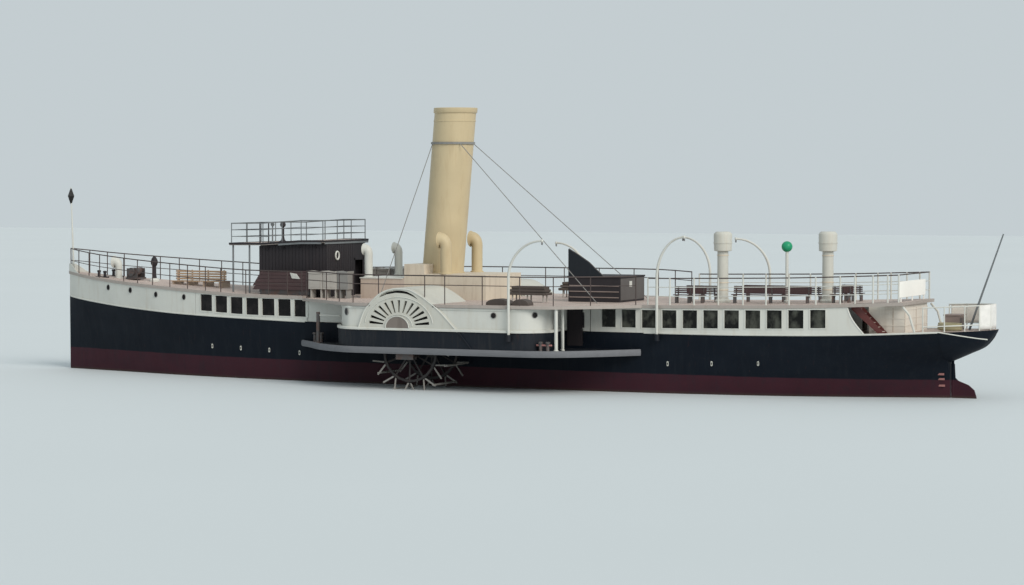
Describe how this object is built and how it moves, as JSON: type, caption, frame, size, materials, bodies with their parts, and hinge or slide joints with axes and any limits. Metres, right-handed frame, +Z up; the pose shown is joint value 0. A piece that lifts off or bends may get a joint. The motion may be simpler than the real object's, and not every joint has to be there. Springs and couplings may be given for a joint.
{
  "type": "paddle steamer, 1:2 scale model",
  "caption": "Excursion paddle steamer at half size with side wheels on a turning shaft, saloons, raked funnel, swinging davits and a steering rudder.",
  "frame": {"origin": "on the centreline at the waterline, just ahead of the paddle shaft", "axes": "+X to the bow, +Y to port, +Z up"},
  "size_m": [27.6155, 7.9309, 8.2154],
  "materials": {
    "hull_paint": "satin",
    "white_paint": "satin",
    "cream_paint": "satin",
    "buff_paint": "satin",
    "dark_paint": "satin",
    "grey_metal": "worn",
    "deck_wood": "weathered",
    "brown_wood": "varnished",
    "dark_iron": "rough",
    "green_paint": "gloss"
  },
  "bodies": {
    "ship": {"aft_bulkhead": "white_paint", "aft_rail": "white_paint", "aft_saloon_side_port": "white_paint", "aft_saloon_side_starboard": "white_paint", "aft_stair": "brown_wood", "after_house": "cream_paint", "ball_ventilator": "green_paint", "boiler": "dark_iron", "bow_rail": "dark_paint", "bridge_house": "dark_paint", "buff_ventilator_port": "buff_paint", "buff_ventilator_starboard": "buff_paint", "casing_side_port": "white_paint", "casing_side_starboard": "white_paint", "companion_hood": "dark_paint", "engine": "dark_iron", "flagstaff": "white_paint", "flying_bridge": "white_paint", "flying_bridge_rail": "white_paint", "fore_casing": "white_paint", "fore_saloon_side_port": "white_paint", "fore_saloon_side_starboard": "white_paint", "forecastle": "white_paint", "funnel": "buff_paint", "funnel_casing": "buff_paint", "funnel_stays": "dark_iron", "hull": "hull_paint", "jackstaff": "white_paint", "mid_rail_port": "dark_paint", "mid_rail_starboard": "dark_paint", "paddle_box_port": "white_paint", "paddle_box_starboard": "white_paint", "promenade_deck_aft": "deck_wood", "promenade_deck_fore": "deck_wood", "promenade_deck_mid": "deck_wood", "sponson_house_aft_port": "white_paint", "sponson_house_aft_starboard": "white_paint", "sponson_house_fore_port": "white_paint", "sponson_house_fore_starboard": "white_paint", "sponson_port": "hull_paint", "sponson_starboard": "hull_paint", "stern_rail": "white_paint", "tall_ventilator_aft": "cream_paint", "tall_ventilator_fore": "cream_paint", "white_ventilator_port": "white_paint", "white_ventilator_starboard": "white_paint", "winch": "dark_iron"},
    "paddle_gear": {"paddle_shaft": "dark_iron", "paddle_wheel_port": "grey_metal", "paddle_wheel_starboard": "grey_metal"},
    "rudder": {"rudder": "hull_paint"},
    "recess_door_port": {"recess_door_port": "dark_paint"},
    "recess_door_starboard": {"recess_door_starboard": "dark_paint"},
    "davit_fore_port": {"davit_fore_port": "white_paint"},
    "davit_mid_port": {"davit_mid_port": "white_paint"},
    "davit_fore_starboard": {"davit_fore_starboard": "white_paint"},
    "davit_mid_starboard": {"davit_mid_starboard": "white_paint"},
    "davit_aft_starboard": {"davit_aft_starboard": "white_paint"}
  },
  "joints": [
    {"name": "paddle_shaft_turn", "type": "hinge", "parent": "ship", "child": "paddle_gear", "pos_m": [-0.25, 0, 0.975], "axis": [0, 1, 0], "continuous": true},
    {"name": "rudder_turn", "type": "hinge", "parent": "ship", "child": "rudder", "pos_m": [-13.74, 0, 0], "axis": [0, 0, 1], "range_deg": [-35, 35]},
    {"name": "recess_door_port_swing", "type": "hinge", "parent": "ship", "child": "recess_door_port", "pos_m": [-4.485, 1.845, 1.8], "axis": [0, 0, 1], "range_deg": [0, 95]},
    {"name": "recess_door_starboard_swing", "type": "hinge", "parent": "ship", "child": "recess_door_starboard", "pos_m": [-4.485, -1.845, 1.8], "axis": [0, 0, -1], "range_deg": [0, 95]},
    {"name": "davit_fore_port_swing", "type": "hinge", "parent": "ship", "child": "davit_fore_port", "pos_m": [-3.29, 3.85, 2.5], "axis": [0, 0, 1], "range_deg": [-150, 150]},
    {"name": "davit_mid_port_swing", "type": "hinge", "parent": "ship", "child": "davit_mid_port", "pos_m": [-6.55, 1.935, 2.5], "axis": [0, 0, 1], "range_deg": [-150, 150]},
    {"name": "davit_fore_starboard_swing", "type": "hinge", "parent": "ship", "child": "davit_fore_starboard", "pos_m": [-1.975, -3.85, 2.5], "axis": [0, 0, 1], "range_deg": [-150, 150]},
    {"name": "davit_mid_starboard_swing", "type": "hinge", "parent": "ship", "child": "davit_mid_starboard", "pos_m": [-6.5, -1.935, 2.5], "axis": [0, 0, 1], "range_deg": [-150, 150]},
    {"name": "davit_aft_starboard_swing", "type": "hinge", "parent": "ship", "child": "davit_aft_starboard", "pos_m": [-8.2, -1.9, 2.5], "axis": [0, 0, 1], "range_deg": [-150, 150]}
  ]
}
